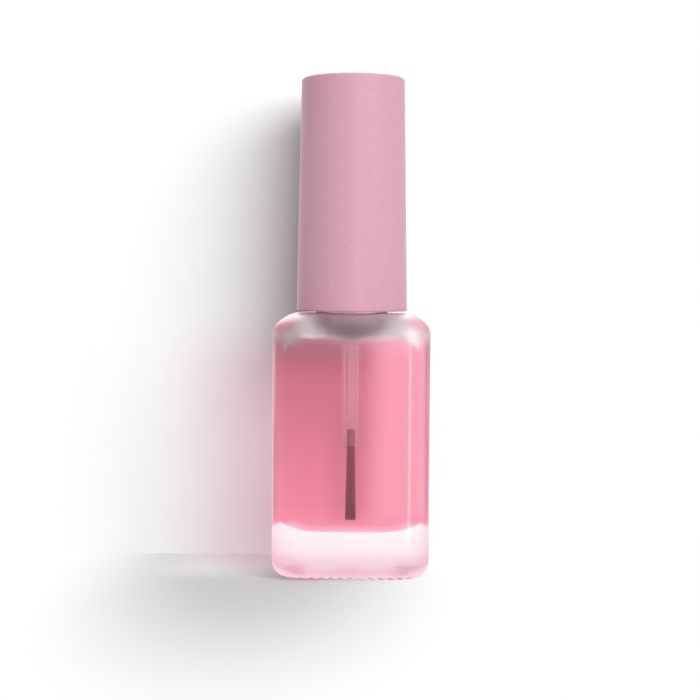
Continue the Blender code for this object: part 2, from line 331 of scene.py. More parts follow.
def grainedFinish(name, part, **sockets):
    # a grain between the part's two colours, with a change in its roughness, often broader
    material, tree = startFinish(name, part["lighter"], part["roughness"][0], **sockets)
    grain = addNoise(tree, *part["grain"])
    colourBy(tree, grain, part["darker"], part["lighter"])
    cloud = addNoise(tree, *part.get("cloud", part["grain"]))
    connect(tree, mapTo(tree, cloud, *part["roughness"]), "Roughness")
    if "bump" in part:
        addBump(tree, grain, *part["bump"])
    return material


# Camera

view = {
    "distance": 0.2867,
    "height": 0.0498,
    "aimHeight": 0.0368,
    "aside": -0.00025,
    "lens": 88.3,
    "sensorWidth": 36,
    "roll": 0.4,                 # degrees
}


def addCamera():
    data = bpy.data.cameras.new("view_from_front")
    data.lens = view["lens"]
    data.sensor_width = view["sensorWidth"]
    data.clip_start = 0.01
    camera = bpy.data.objects.new("view_from_front", data)
    bpy.context.scene.collection.objects.link(camera)
    camera.location = (view["aside"], -view["distance"], view["height"])
    aim = Vector((view["aside"], 0, view["aimHeight"])) - camera.location
    camera.rotation_mode = "QUATERNION"
    roll = Quaternion((0, 0, 1), math.radians(view["roll"]))
    camera.rotation_quaternion = aim.to_track_quat("-Z", "Y") @ roll
    bpy.context.scene.camera = camera


addCamera()
print("camera set")


# Studio: white surroundings, soft lamps, a pale floor and a pale wall close behind the bottle

studio = {
    "fill": 0.60,                # soft light from all round
    "lampDistance": 0.75,
    "lamps": {
        # watts, width, height, degrees to the right of the view, degrees up
        "side_soft_lamp": (2.65, 0.50, 0.70, 42, 34),
        "front_soft_lamp": (1.85, 0.16, 0.90, 12, 8),
        "back_soft_lamp": (2.6, 0.50, 0.60, 190, 36),
        # these two light the floor and the wall alone, and only the second is shaded by glass
        "stage_lamp": (8.6, 0.80, 0.46, 28, 24),
        "shaded_stage_lamp": (5.0, 0.80, 0.46, 28, 24),
    },
    "clearLamp": "side_soft_lamp",   # the one lamp that shows through the glass
    "wallPlace": 0.0145,         # just behind the bottle's back
    "reach": 0.45,
    "surfaces": {
        # paleness, where it is strongest, where it starts to thin out and where it is gone
        # the floor's grey patch, centred left of the bottle, is a painted soft shadow on top of the
        # lamps' own shadow
        "pale_floor": (0.37, (-0.016, -0.008, 0), 0.005, 0.034),
        "pale_wall": (0.44, (0, 0.0145, 0.030), 0.036, 0.056),
    },
    "stretch": (1, 0.33, 0.5),   # share of each way that counts in those
    "wallSlant": (0.93, 0.70),   # 0 where the wall is seen squarely, 1 along its face
    # each pair below is a height or a place where a change starts, and where it ends
    "wallFoot": 0.97,            # painted shade: share of its paleness the wall keeps at the floor, left of the bottle
    "footLeft": (-0.050, -0.020),
    "footRight": (0.006, -0.016),
    "footRise": (0.024, 0),
    "seamPaleness": 0.56,        # painted light: paler floor where the wall stands on it, lifting the shadow that falls there
    "seamLeft": (-0.036, -0.022),
    "seamDepth": (-0.013, 0.004),
    "glow": (1, 0.80, 0.85),     # painted pink glow of the floor and wall, standing in for light that has come through the oil
    "glowLeft": (-0.036, -0.013),
    "glowRight": (0.005, -0.005),
    "glowRise": (0.043, 0.032),
    "glowDepth": (-0.010, 0.0145),
    "lowShade": (0.96, 0.74, 0.79),  # painted shade of the wall behind the bottle, as seen through it
    "highShade": (0.54, 0.36, 0.40),
    "topShade": (0.33, 0.31, 0.32),
    "topRise": (0.030, 0.0415),
    "shadeLeft": (-0.040, -0.016),
    "shadeRight": (0.0068, 0.0004),
    "shadeRise": (0.0, 0.045),
    "shadeFoot": (0.004, 0.010),     # no shade below this, nor above the next
    "shadeHead": (0.050, 0.044),
    "stemLight": 0.45,           # painted light: a lighter band on the wall behind the milky stem
    "stemLeft": (-0.0019, -0.0011),
    "stemRight": (0.0019, 0.0011),
    "stemRise": (0.020, 0.023),
    # painted shadow of the brush on the wall, as seen through the oil
    "brushShade": (0.52, 0.40, 0.44),
    "brushLeft": (-0.0058, -0.0012),
    "brushRight": (0.0050, 0.0004),
    "brushRise": (0.030, 0.022),
    "brushDepth": 0.42,
}


def lightSurroundings():
    # a soft light that falls on the pieces, and plain white for what the camera sees
    world = bpy.data.worlds.new("white_studio")
    bpy.context.scene.world = world
    world.use_nodes = True
    tree = world.node_tree
    tree.nodes.clear()
    rays = addNode(tree, "LightPath").outputs
    soft, white = (
        addNode(tree, "Background", {"Color": (1, 1, 1), "Strength": strength}).outputs[0]
        for strength in (studio["fill"], 1))
    seen = addMath(tree, "MAXIMUM", rays["Is Camera Ray"], rays["Is Glossy Ray"])
    shown = addMath(tree, "MAXIMUM", seen, rays["Is Transmission Ray"])
    either = addNode(tree, "MixShader", {0: shown, 1: soft, 2: white}).outputs[0]
    addNode(tree, "OutputWorld", {"Surface": either})


def addLamps():
    for name, (strength, width, height, right, up) in studio["lamps"].items():
        data = bpy.data.lights.new(name, "AREA")
        data.shape = "RECTANGLE"
        data.size, data.size_y = width, height
        data.energy = strength
        lamp = bpy.data.objects.new(name, data)
        bpy.context.scene.collection.objects.link(lamp)
        azimuth, elevation = math.radians(right), math.radians(up)
        direction = Vector((
            math.sin(azimuth) * math.cos(elevation),
            -math.cos(azimuth) * math.cos(elevation),
            math.sin(elevation),
        ))
        lamp.location = Vector((0, 0, view["aimHeight"])) + direction * studio["lampDistance"]
        lamp.rotation_mode = "QUATERNION"
        lamp.rotation_quaternion = (-direction).to_track_quat("-Z", "Y")
        lamp.visible_transmission = name == studio["clearLamp"]


def wallShade(tree, x, z, seen):
    # painted shade: a soft shade drawn onto the wall for rays that have come through glass and oil,
    # with a painted lighter band behind the stem and a painted shadow of the brush
    seen = multiply(tree, seen, addBand(tree, z, studio["shadeFoot"], studio["shadeHead"]))
    shade = mixColours(tree, addFade(tree, z, *studio["shadeRise"]), studio["lowShade"],
                       studio["highShade"])
    shade = mixColours(tree, addFade(tree, z, *studio["topRise"]), shade, studio["topShade"])
    # painted light behind the stem
    stemLight = multiply(tree, addBand(tree, x, studio["stemLeft"], studio["stemRight"]),
                         addFade(tree, z, *studio["stemRise"]), studio["stemLight"])
    across = multiply(tree, addBand(tree, x, studio["shadeLeft"], studio["shadeRight"]), seen,
                      addMath(tree, "SUBTRACT", 1, stemLight))
    tone = mixColours(tree, across, (1, 1, 1), shade)
    # painted shadow of the brush
    brush = multiply(tree, addBand(tree, x, studio["brushLeft"], studio["brushRight"]), seen,
                     addFade(tree, z, *studio["brushRise"], 0.0, studio["brushDepth"]))
    return mixColours(tree, brush, tone, studio["brushShade"])


def paleSurface(name):
    # catches the lamps' shadow from the front, and thins out into the white round it. Painted shade
    # and light are added: a grey patch on the floor, a darker wall foot, a paler floor seam, a pink
    # glow, and a shade on the wall seen through the glass
    paleness, middle, fadeStart, fadeEnd = studio["surfaces"][name]
    material = bpy.data.materials.new(name)
    material.use_nodes = True
    tree = material.node_tree
    tree.nodes.clear()
    where = addNode(tree, "NewGeometry").outputs
    rays = addNode(tree, "LightPath").outputs
    x, y, z = addNode(tree, "SeparateXYZ", {0: where["Position"]}).outputs

    stretched = addNode(tree, "Mapping", {"Vector": where["Position"], "Scale": studio["stretch"]})
    centre = [a * b for a, b in zip(middle, studio["stretch"])]
    away = addNode(tree, "VectorMath", {0: stretched.outputs[0], 1: centre}, operation="DISTANCE")
    near = addFade(tree, away.outputs["Value"], fadeEnd, fadeStart)
    front = addMath(tree, "SUBTRACT", 1, where["Backfacing"])
    shown = multiply(tree, rays["Is Camera Ray"], front, near)
    # painted pink glow, for light through the oil
    glow = addBand(tree, x, studio["glowLeft"], studio["glowRight"])
    if name == "pale_wall":
        # clear where it is seen along its face, so no dark strip of it stands beside the bottle
        slant = addNode(tree, "LayerWeight", {"Blend": 0.5}).outputs["Facing"]
        shown = multiply(tree, shown, addFade(tree, slant, *studio["wallSlant"]))
        glow = multiply(tree, glow, addFade(tree, z, *studio["glowRise"]))
        # painted shade at the wall's foot
        edge = multiply(tree, addBand(tree, x, studio["footLeft"], studio["footRight"]),
                        addFade(tree, z, *studio["footRise"]))
        edgePaleness = paleness * studio["wallFoot"]
        # painted shade on the wall, seen only through glass and oil
        paintedTone = wallShade(tree, x, z, multiply(tree, rays["Is Transmission Ray"], front))
    else:
        glow = multiply(tree, glow, addFade(tree, y, *studio["glowDepth"]))
        # painted light along the seam with the wall
        edge = multiply(tree, addFade(tree, x, *studio["seamLeft"]),
                        addFade(tree, y, *studio["seamDepth"]))
        edgePaleness = studio["seamPaleness"]
        paintedTone = (1, 1, 1)
    grey = mixColours(tree, edge, [paleness] * 3, [edgePaleness] * 3)
    colour = mixColours(tree, glow, grey, studio["glow"], "MULTIPLY")
    pale = addNode(tree, "BsdfDiffuse", {"Color": colour}).outputs[0]
    clear = addNode(tree, "BsdfTransparent", {"Color": paintedTone}).outputs[0]
    either = addNode(tree, "MixShader", {0: shown, 1: clear, 2: pale}).outputs[0]
    addNode(tree, "OutputMaterial", {"Surface": either})
    return material


def addStage():
    reach, wall = studio["reach"], studio["wallPlace"]
    surfaces = bpy.data.collections.new("stage_surfaces")
    corners = {
        "pale_floor": [(-reach, -reach, 0), (reach, -reach, 0),
                       (reach, reach, 0), (-reach, reach, 0)],
        "pale_wall": [(-reach, wall, 0), (reach, wall, 0),
                      (reach, wall, reach), (-reach, wall, reach)],
    }
    for name, points in corners.items():
        mesh = bpy.data.meshes.new(name)
        mesh.from_pydata(points, [], [(0, 1, 2, 3)])
        surface = bpy.data.objects.new(name, mesh)
        bpy.context.scene.collection.objects.link(surface)
        mesh.materials.append(paleSurface(name))
        surfaces.objects.link(surface)
    for lamp in ("stage_lamp", "shaded_stage_lamp"):
        bpy.data.objects[lamp].light_linking.receiver_collection = surfaces


lightSurroundings()
addLamps()
addStage()
print("studio lit")


# Glass bottle

bottle = {
    "half": 0.01275,
    "corner": 0.0036,
    "shoulderTop": 0.0430,
    "shoulderReach": 0.0045,
    "shoulderDrop": 0.0032,
    "heelReach": 0.00275,
    "heelRise": 0.0030,
    "landWidth": 0.0017,
    "pushUp": 0.0008,
    "cavityHalf": 0.01035,
    "cavityCorner": 0.0024,
    "cavityFloor": 0.0074,
    "floorReach": 0.0048,
    "floorRise": 0.0021,
    "floorShares": (0.75, 0.5, 0.25, 0.08),
    "cavityCeiling": 0.0416,
    "ceilingReach": 0.0068,
    "ceilingDrop": 0.0062,
    "funnelRise": 0.0012,
    "boreRadius": 0.0035,
    "neckRadius": 0.00575,
    "neckRoot": 0.0006,
    "lip": 0.0542,
    "lipRound": 0.0006,
    "teeth": 52,
    "toothDepth": 0.00050,
    "toothStart": 0.9,           # share of the bearing edge's inner reach where they rise
    "toothShape": 1.4,
    "toothLift": 0.35,           # how much of the heel's own curve is left in a notch
    "pointsPerTooth": 6,
    "stippleTop": 0.0028,
    "neckSpacing": 0.00014,      # between the rings that the thread rises from
    "bend": 1.5,
    "wettedBend": 1.008,         # where oil lies behind the glass and bends light alike
    "roughness": 0.08,
    "ripple": (260, 3),
    "rippleBump": (0.04, 0.0002),
    # painted light: pink towards the foot, for the oil's light spreading through the thick base
    "footPinkLight": (1, 0.81, 0.875),
    "pinkLightAbove": (1, 0.985, 0.99),
    "pinkLightRise": (0.0030, 0.0090),
    "rimTint": (1, 0.50, 0.66),  # of the thick base, where it is seen at a slant
    "rimBlend": 0.72,
    "rimRise": (0.0120, 0.0050),
    "stippleRoughness": 0.4,
    "stippleBend": 1.2,
    "stippleGrain": (2600, 3),
    "stippleBump": (0.5, 0.00005),
    # painted light: pink of the stippled faces, deeper towards the floor, for the oil's light
    "stippleLow": (1, 0.50, 0.66),
    "stippleHigh": (1, 0.84, 0.90),
    "stippleRise": (0.0002, 0.0024),
    # the mould leaves the heel and the shoulder softer: below, above, and how rough there
    "softSteps": [(0.0093, 0.0355, 0.11), (0.0086, 0.0361, 0.15), (0.0078, 0.0367, 0.20),
                  (0.0070, 0.0373, 0.26), (0.0060, 0.0379, 0.32), (0.0048, 0.0386, 0.38)],
    "softTop": 0.0440,           # the neck above it is clear
    "margin": 0.0001,            # round the faces that the oil wets
}

oil = {
    "level": 0.0388,
    "overlap": 0.00004,          # runs into the glass, so no film of air shows between them
    "meniscus": 0.00035,
    "meniscusWidth": 0.0012,
    "creep": 2.4,                # how sharply it turns up
    "skin": 0.00002,             # between the oil's body and its surface
    "ringPoints": 208,
    "floorShares": (0.7, 0.4, 0.1),
    "lost": (0.03, 0.88, 0.63),  # share of red, green and blue that the oil takes
    "depth": 58.0,               # how strongly, per metre
    "cloud": (45, 2, (1, 1, 0.5)),
    "darker": (0.985, 0.965, 0.97),
    "lighter": (1, 0.99, 0.99),
    "surfaceCloud": (120, 2),
    "surfaceBump": (0.02, 0.0001),
    "surfaceDarker": (1, 0.94, 0.955),
    "surfaceBend": 1.02,
    "channelRadius": 0.00142,
    "channelFoot": 0.0209,
}

thread = {
    "height": 0.00068,
    "width": 0.00105,
    "pitch": 0.0021,
    "turns": 2.0,
    "bottom": 0.0482,            # where the neck's thread starts
    "runIn": 0.12,               # share of a turn over which it rises
    "steepness": 1.6,
    "closureShift": 0.00105,     # the closure's thread runs half a pitch above
}


def threadRise(angle, height, bottom, turns):
    # how far a right-hand thread stands out of a wall, at an angle and a height
    rise = 0.0
    share = angle / fullTurn
    for turn in range(math.ceil(turns) + 1):
        along = share + turn
        if along > turns:
            break
        off = abs(height - bottom - thread["pitch"] * along) / (thread["width"] / 2)
        ends = min(along, turns - along) / thread["runIn"]
        rise = max(rise, smoothStep((1 - off) * thread["steepness"]) * smoothStep(ends))
    return thread["height"] * rise


def ceilingArc(outset, start, end, steps):
    # (half, corner, height) down the curve from the cavity's ceiling to its wall
    half = bottle["cavityHalf"] + outset
    corner = bottle["cavityCorner"] + outset / 2
    base = bottle["cavityCeiling"] - bottle["ceilingDrop"]
    reach = bottle["ceilingReach"]
    sections = []
    reaches = (reach, bottle["ceilingDrop"])
    for out, up in arcPoints((half - reach, base), reaches, start, end, steps):
        drawnIn = (half - out) / reach
        sections.append((out, corner + (out - corner) * drawnIn, up))
    return sections


def floorArc(outset, steps):
    half = bottle["cavityHalf"] + outset
    corner = bottle["cavityCorner"] + outset / 2
    foot = (half - bottle["floorReach"], bottle["cavityFloor"] - outset + bottle["floorRise"])
    reaches = (bottle["floorReach"], bottle["floorRise"])
    return [(out, corner, up) for out, up in arcPoints(foot, reaches, 0, -quarterTurn, steps)]


def wetAngle():
    # where the oil's edge lies on the curve of the cavity's ceiling
    base = bottle["cavityCeiling"] - bottle["ceilingDrop"]
    return math.asin((oil["level"] + oil["meniscus"] - base) / bottle["ceilingDrop"])


def bottleRings():
    count = bottle["teeth"] * bottle["pointsPerTooth"]
    corner = bottle["corner"]
    landOuter = bottle["half"] - bottle["heelReach"]
    landInner = landOuter - bottle["landWidth"]
    rings = [[(0, 0, bottle["pushUp"])]]

    # underside, bearing edge and heel, with the notches of the stippled edge
    foot = []
    for out, up in arcPoints((0, 0), (landInner, bottle["pushUp"]), quarterTurn, 0, 12)[1:]:
        foot.append((out, corner * out / landInner, up))
    for out in between(landInner, landOuter, 6)[1:]:
        foot.append((out, corner, 0))
    heel = arcPoints((landOuter, bottle["heelRise"]), (bottle["heelReach"], bottle["heelRise"]),
                     -quarterTurn, 0, 16)
    foot += [(out, corner, up) for out, up in heel[1:]]
    toothStart = landInner * bottle["toothStart"]
    for half, rounding, up in foot:
        ring = squareRing(half, rounding, up, count)
        if half > toothStart and up < 3 * bottle["toothDepth"]:
            blend = smoothStep((half - toothStart) / (landInner - toothStart))
            notched = []
            for index, (x, y, z) in enumerate(ring):
                phase = (index / bottle["pointsPerTooth"] + 0.5) % 1
                notch = bottle["toothDepth"] * math.sin(math.pi * phase) ** bottle["toothShape"]
                notched.append((x, y, max(z, notch * blend + z * bottle["toothLift"])))
            ring = notched
        rings.append(ring)

    # walls, shoulder and neck
    shoulderStart = bottle["shoulderTop"] - bottle["shoulderDrop"]
    for up in between(bottle["heelRise"], shoulderStart, 46)[1:]:
        rings.append(squareRing(bottle["half"], corner, up, count))
    shoulder = arcPoints((bottle["half"] - bottle["shoulderReach"], shoulderStart),
                         (bottle["shoulderReach"], bottle["shoulderDrop"]), 0, quarterTurn, 18)
    for out, up in shoulder[1:]:
        rings.append(squareRing(out, corner, up, count))
    neck, neckRoot = bottle["neckRadius"], bottle["neckRoot"]
    edge = bottle["half"] - bottle["shoulderReach"]
    for share in between(0, 1, 5)[1:-1]:
        out = edge + (neck + neckRoot - edge) * share
        rings.append(squareRing(out, corner + (out - corner) * share, bottle["shoulderTop"], count))
    neckFoot = bottle["shoulderTop"] + neckRoot
    for out, up in arcPoints((neck + neckRoot, neckFoot), (neckRoot, neckRoot),
                             -quarterTurn, -2 * quarterTurn, 5):
        rings.append(squareRing(out, out, up, count))
    lip, lipRound = bottle["lip"], bottle["lipRound"]
    steps = math.ceil((lip - lipRound - neckFoot) / bottle["neckSpacing"])
    for up in between(neckFoot, lip - lipRound, steps)[1:-1]:
        ring = []
        for index in range(count):
            angle = fullTurn * index / count
            radius = neck + threadRise(angle, up, thread["bottom"], thread["turns"])
            ring.append((radius * math.cos(angle), radius * math.sin(angle), up))
        rings.append(ring)
    bore = bottle["boreRadius"]
    for out, up in arcPoints((neck - lipRound, lip - lipRound), (lipRound, lipRound),
                             0, quarterTurn, 5):
        rings.append(squareRing(out, out, up, count))
    for out, up in arcPoints((bore + lipRound, lip - lipRound), (lipRound, lipRound),
                             quarterTurn, 2 * quarterTurn, 5):
        rings.append(squareRing(out, out, up, count))

    # bore, funnel and cavity
    inside = []
    ceilingHalf = bottle["cavityHalf"] - bottle["ceilingReach"]
    funnelTop = bottle["cavityCeiling"] + bottle["funnelRise"]
    for up in between(lip - lipRound, funnelTop, 8)[1:-1]:
        inside.append((bore, bore, up))
    for out, up in arcPoints((ceilingHalf, funnelTop), (ceilingHalf - bore, bottle["funnelRise"]),
                             2 * quarterTurn, 3 * quarterTurn, 8):
        inside.append((out, out, up))
    inside += ceilingArc(0, quarterTurn, wetAngle(), 8)[1:]
    inside += ceilingArc(0, wetAngle(), 0, 14)[1:]
    floor = floorArc(0, 14)
    wallTop, wallFoot = inside[-1][2], floor[0][2]
    for up in between(wallTop, wallFoot, 40)[1:-1]:
        inside.append((bottle["cavityHalf"], bottle["cavityCorner"], up))
    inside += floor
    last = floor[-1]
    for share in bottle["floorShares"]:
        inside.append((last[0] * share, last[1] * share, last[2]))
    for half, rounding, up in inside:
        rings.append(squareRing(half, rounding, up, count))
    rings.append([(0, 0, last[2])])
    return rings


def glassFinish(name, bend, roughness):
    # bend is the index against what lies beyond the face: air, or oil that bends light alike
    material, tree = startFinish(name, (1, 1, 1), roughness, Transmission_Weight=1.0, IOR=bend)
    # painted light: the clear glass turns pink towards its thick foot, for the oil's light spread
    # through the base
    paintedTone = tintByHeight(tree, bottle["pinkLightRise"], bottle["footPinkLight"], bottle["pinkLightAbove"])
    rim = addNode(tree, "LayerWeight", {"Blend": bottle["rimBlend"]}).outputs["Facing"]
    low = multiply(tree, rim, addFade(tree, heightOf(tree), *bottle["rimRise"]))
    connect(tree, mixColours(tree, low, paintedTone, bottle["rimTint"]), "Base Color")
    addBump(tree, addNoise(tree, *bottle["ripple"]), *bottle["rippleBump"])
    return material


def stippleFinish():
    # the underside and the bearing edge are roughened, so they glow softly in the thick base. Their
    # pink, deeper towards the floor, is a painted glow standing in for the oil's light
    material, tree = startFinish(
        "stippled_glass", bottle["stippleHigh"], bottle["stippleRoughness"],
        Transmission_Weight=1.0, IOR=bottle["stippleBend"])
    paintedTone = tintByHeight(tree, bottle["stippleRise"], bottle["stippleLow"], bottle["stippleHigh"])
    connect(tree, paintedTone, "Base Color")
    addBump(tree, addNoise(tree, *bottle["stippleGrain"]), *bottle["stippleBump"])
    return material


def makeBottle():
    mesh = skinMesh("bottle_glass", bottleRings())
    addPiece("bottle_glass", mesh, glassFinish("flint_glass", bottle["bend"], bottle["roughness"]),
             "bottle", "flint_glass", "glass_bottle")
    mesh.materials.append(glassFinish("wetted_glass", bottle["wettedBend"], bottle["roughness"]))
    mesh.materials.append(stippleFinish())
    wetted, stippled, firstSoft = 1, 2, 3
    for step, (_, _, roughness) in enumerate(bottle["softSteps"]):
        name = "soft_glass_%d" % (step + 1)
        mesh.materials.append(glassFinish(name, bottle["bend"], roughness))
    reach = bottle["cavityHalf"] + bottle["margin"]
    wetLow, wetHigh = bottle["cavityFloor"] - bottle["margin"], oil["level"] + oil["meniscus"]
    for face in mesh.polygons:
        x, y, z = face.center
        if max(abs(x), abs(y)) < reach and wetLow < z < wetHigh:
            face.material_index = wetted
        elif z < bottle["stippleTop"]:
            face.material_index = stippled
        elif z < bottle["softTop"]:
            for step, (below, above, _) in enumerate(bottle["softSteps"]):
                if z < below or z > above:
                    face.material_index = firstSoft + step


makeBottle()
print("glass bottle made")


# Oil

def oilSurfaceRings(half, corner, drop):
    # from the stem out to the edge, where the oil creeps up the glass
    rings = []
    hole = oil["channelRadius"]
    inner = 1 - oil["meniscusWidth"] / half
    for share in between(0, 1, 5)[:-1]:
        out = hole + (half * inner - hole) * share
        rounding = hole + (corner * inner - hole) * share
        rings.append(squareRing(out, rounding, oil["level"] - drop, oil["ringPoints"]))
    for along in between(0, 1, 8):
        share = inner + (1 - inner) * along
        up = oil["level"] - drop + oil["meniscus"] * along ** oil["creep"]
        rings.append(squareRing(half * share, corner * share, up, oil["ringPoints"]))
    return rings


def oilRings():
    sections = ceilingArc(oil["overlap"], wetAngle(), 0, 10)
    half, corner, _ = sections[0]
    # the stem fills a channel, so the oil does not colour what is seen through it
    hole, foot = oil["channelRadius"], oil["channelFoot"]
    rings = [[(0, 0, foot)]]
    for up in between(foot, oil["level"] - oil["skin"], 8)[:-1]:
        rings.append(squareRing(hole, hole, up, oil["ringPoints"]))
    rings += oilSurfaceRings(half, corner, oil["skin"])[:-1]
    floor = floorArc(oil["overlap"], 14)
    wall = between(sections[-1][2], floor[0][2], 12)[1:-1]
    sections += [(bottle["cavityHalf"] + oil["overlap"], floor[0][1], up) for up in wall]
    sections += floor
    last = floor[-1]
    for share in oil["floorShares"]:
        sections.append((last[0] * share, last[1] * share, last[2]))
    for half, corner, up in sections:
        rings.append(squareRing(half, corner, up, oil["ringPoints"]))
    rings.append([(0, 0, last[2])])
    return rings


def oilFinish():
    # the walls that it touches bend the light, so the body of the oil only colours it
    material, tree = startFinish("pink_oil", oil["lighter"], 0.0, Transmission_Weight=1.0, IOR=1.0)
    colourBy(tree, addNoise(tree, *oil["cloud"]), oil["darker"], oil["lighter"])
    kept = [1 - share for share in oil["lost"]]
    dye = addNode(tree, "VolumeAbsorption", {"Color": kept, "Density": oil["depth"]})
    fill(tree, tree.nodes["Material Output"].inputs["Volume"], dye.outputs["Volume"])
    return material


def oilSurfaceFinish():
    material, tree = startFinish("oil_surface", oil["lighter"], 0.0,
                                 Transmission_Weight=1.0, IOR=oil["surfaceBend"])
    cloud = addNoise(tree, *oil["surfaceCloud"])
    colourBy(tree, cloud, oil["surfaceDarker"], oil["lighter"])
    addBump(tree, cloud, *oil["surfaceBump"])
    return material


def makeOil():
    addPiece("bottle_oil", skinMesh("bottle_oil", oilRings()), oilFinish(),
             "bottle", "pink_oil", "oil_fill")
    half, corner, _ = ceilingArc(oil["overlap"], wetAngle(), 0, 10)[0]
    addPiece("oil_surface", skinMesh("oil_surface", oilSurfaceRings(half, corner, 0)),
             oilSurfaceFinish(), "bottle", "pink_oil")


makeOil()
print("oil filled")


# Sealing washer

washer = {
    "radius": 0.00605,
    "hole": 0.00175,
    "bottom": 0.0545,
    "thickness": 0.0010,
    "edgeRound": 0.00015,
    "spacing": 0.0007,
    "points": 128,
    "darker": (0.78, 0.78, 0.76),
    "lighter": (0.90, 0.90, 0.885),
    "roughness": (0.55, 0.8),
    "grain": (5200, 4),
    "cloud": (900, 2),
    "bump": (0.5, 0.00005),
}


def makeWasher():
    low, high = washer["bottom"], washer["bottom"] + washer["thickness"]
    outline = [
        (washer["radius"], high, "side"),
        (washer["radius"], low, "under"),
        (washer["hole"], low, "hole"),
        (washer["hole"], high, "top"),
    ]
    turnPiece("foam_washer", washer, outline, True, grainedFinish("washer_foam", washer),
              "seal", "washer_foam", "sealing_washer")


makeWasher()
print("washer made")


# Inner closure

closure = {
    "bottom": 0.0439,
    "webLow": 0.0571,
    "webHigh": 0.0583,
    "bossTop": 0.0633,
    "top": 0.0643,
    "footRadius": 0.00759,
    "crownRadius": 0.00725,
    "bore": 0.0067,
    "upperBore": 0.00635,
    "bossBore": 0.0023,
    "bossRadius": 0.0032,
    "ribs": 24,
    "ribHeight": 0.00025,
    "ribWidth": 0.0007,
    "ribSlope": 0.5,             # share of the width over which its side rises
    "ribEnd": 0.0003,            # over which a rib runs out
    "ribGap": 0.0004,            # from the ribs to the top edge
    "threadShare": 0.9,          # of the neck thread's height
    "edgeRound": 0.00015,
    "spacing": 0.00016,
    "points": 288,
    "darker": (0.030, 0.029, 0.031),
    "lighter": (0.050, 0.048, 0.052),
    "roughness": (0.32, 0.5),
    "grain": (2400, 3),
    "cloud": (700, 2),
    "bump": (0.2, 0.00003),
}


def closureRidge(zone, angle, up):
    if zone == "bore":
        start = thread["bottom"] + thread["closureShift"]
        return -threadRise(angle, up, start, thread["turns"]) * closure["threadShare"]
    if zone == "outside" and up > closure["webLow"]:
        across = ridgeShape(angle, closure["crownRadius"], closure["ribs"], closure["ribWidth"],
                            closure["ribSlope"])
        ends = min(up - closure["webLow"], closure["top"] - closure["ribGap"] - up)
        return closure["ribHeight"] * across * smoothStep(ends / closure["ribEnd"])
    return 0


def makeClosure():
    part = closure
    outline = [
        (part["crownRadius"], part["top"], "outside"),
        (part["footRadius"], part["bottom"], "foot"),
        (part["bore"], part["bottom"], "bore"),
        (part["bore"], part["webLow"], "web"),
        (part["bossBore"], part["webLow"], "boss"),
        (part["bossBore"], part["bossTop"], "boss"),
        (part["bossRadius"], part["bossTop"], "boss"),
        (part["bossRadius"], part["webHigh"], "web"),
        (part["upperBore"], part["webHigh"], "upper"),
        (part["upperBore"], part["top"], "upper"),
    ]
    turnPiece("closure_inner", part, outline, True, grainedFinish("black_closure", part),
              "applicator", "black_closure", "inner_cap", closureRidge, 4)


makeClosure()
print("inner closure made")


# Outer cap

cap = {
    "bottom": 0.0434,
    "top": 0.0820,
    "mouthRadius": 0.0092,
    "crownRadius": 0.00855,
    "wall": 0.0011,
    "roof": 0.0014,
    "topRound": 0.0006,
    "rimRound": 0.0002,
    "middle": 0.001,             # radius of the innermost ring of its top and roof
    "stops": 8,
    "stopFoot": 0.0646,
    "stopDepth": 0.0010,
    "stopWidth": 0.0008,
    "stopSlope": 0.4,
    "stopEnd": 0.0002,           # over which a stop rises
    "spacing": 0.0004,
    "points": 256,
    "darker": (0.60, 0.305, 0.378),
    "lighter": (0.655, 0.362, 0.44),
    "roughness": (0.29, 0.36),
    "grain": (3600, 4),
    "cloud": (220, 3),
    "bump": (0.12, 0.00003),
}


def capRidge(zone, angle, up):
    if zone == "inside" and up > cap["stopFoot"]:
        across = ridgeShape(angle, cap["crownRadius"] - cap["wall"], cap["stops"],
                            cap["stopWidth"], cap["stopSlope"])
        return -cap["stopDepth"] * across * smoothStep((up - cap["stopFoot"]) / cap["stopEnd"])
    return 0


def makeCap():
    bottom, top = cap["bottom"], cap["top"]
    mouth, crown = cap["mouthRadius"], cap["crownRadius"]
    topRound, rimRound = cap["topRound"], cap["rimRound"]
    roof = top - cap["roof"]
    roofRadius = crown + (mouth - crown) * cap["roof"] / (top - bottom) - cap["wall"]
    outline = [(0, top, "top")]
    outline += [(out, top, "top") for out in between(cap["middle"], crown - topRound, 6)[:-1]]
    outline += [(*point, "edge") for point in arcPoints(
        (crown - topRound, top - topRound), (topRound, topRound), quarterTurn, 0, 9)]
    outline += [(*point, "edge") for point in arcPoints(
        (mouth - rimRound, bottom + rimRound), (rimRound, rimRound), 0, -quarterTurn, 6)]
    innerRim = mouth - cap["wall"] + rimRound
    outline += [(*point, "inside") for point in arcPoints(
        (innerRim, bottom + rimRound), (rimRound, rimRound), -quarterTurn, -2 * quarterTurn, 5)]
    outline += [(roofRadius, roof - rimRound, "inside")]
    outline += [(out, roof, "roof") for out in (roofRadius - rimRound, cap["middle"], 0)]
    outline = finer(outline, cap["spacing"], False)
    mesh = turnedMesh("cap_shell", outline, cap["points"], False, capRidge)
    finish = grainedFinish("satin_pink", cap, Specular_IOR_Level=0.2)
    evenShading(addPiece("cap_shell", mesh, finish, "applicator", "satin_pink", "outer_cap"))


makeCap()
print("outer cap made")


# Brush stem

